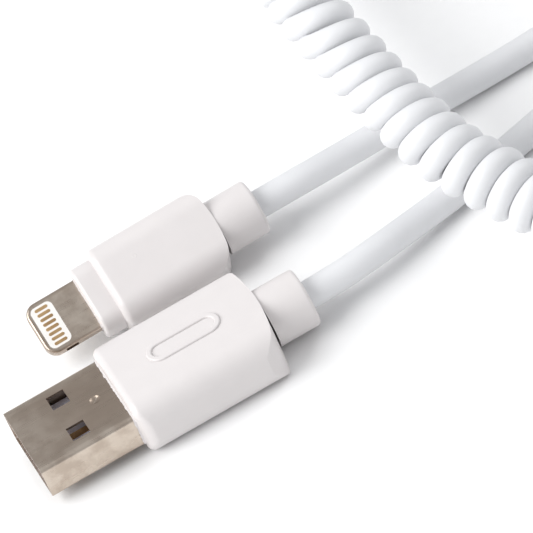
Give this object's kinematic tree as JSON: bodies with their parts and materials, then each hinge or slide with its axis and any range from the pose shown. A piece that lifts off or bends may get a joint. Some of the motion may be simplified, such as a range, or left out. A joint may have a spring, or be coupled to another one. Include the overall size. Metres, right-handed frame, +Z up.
{
  "type": "coiled charging cable",
  "caption": "Short coiled charging cable: a flat rectangular charger plug, a reversible tab plug for a phone, straight leads and a curly middle section.",
  "frame": {"origin": "on the resting surface, under the middle of the charger plug", "axes": "+X along the charger plug, from its open mouth towards its cord; +Z up; +Y towards the phone plug lying beside it"},
  "size_m": [0.0952, 0.082, 0.0187],
  "materials": {
    "cord_jacket": "satin",
    "moulded_grip": "satin",
    "nickel_plate": "satin",
    "tinned_steel": "plain",
    "gold_plate": "polished",
    "solder": "dull",
    "tongue_plastic": "matte",
    "insert_plastic": "matte",
    "inner_plastic": "matte",
    "board_laminate": "satin",
    "chip_black": "matte",
    "ceramic_tan": "matte",
    "wire_red": "satin",
    "wire_white": "satin",
    "wire_green": "satin",
    "wire_black": "satin"
  },
  "bodies": {
    "root": {"charger_lead": "cord_jacket", "charger_plug_collar": "moulded_grip", "charger_plug_contact_carrier": "tongue_plastic", "charger_plug_contacts": "gold_plate", "charger_plug_cord_end": "cord_jacket", "charger_plug_crimp": "tinned_steel", "charger_plug_inner_mould": "inner_plastic", "charger_plug_overmould": "moulded_grip", "charger_plug_shell": "nickel_plate", "charger_plug_shield_lower": "tinned_steel", "charger_plug_shield_upper": "tinned_steel", "charger_plug_solder_joints": "solder", "charger_plug_tongue": "tongue_plastic", "charger_plug_wire_black": "wire_black", "charger_plug_wire_green": "wire_green", "charger_plug_wire_red": "wire_red", "charger_plug_wire_white": "wire_white", "curly_section": "cord_jacket", "phone_lead": "cord_jacket", "phone_plug_board_components": "ceramic_tan", "phone_plug_circuit_board": "board_laminate", "phone_plug_collar": "moulded_grip", "phone_plug_contacts_lower": "gold_plate", "phone_plug_contacts_upper": "gold_plate", "phone_plug_control_chip": "chip_black", "phone_plug_cord_end": "cord_jacket", "phone_plug_crimp": "tinned_steel", "phone_plug_inner_mould": "inner_plastic", "phone_plug_insert": "insert_plastic", "phone_plug_overmould": "moulded_grip", "phone_plug_shield_lower": "tinned_steel", "phone_plug_shield_upper": "tinned_steel", "phone_plug_solder_joints": "solder", "phone_plug_tab_frame": "nickel_plate", "phone_plug_wire_black": "wire_black", "phone_plug_wire_green": "wire_green", "phone_plug_wire_red": "wire_red", "phone_plug_wire_white": "wire_white"}
  },
  "joints": []
}
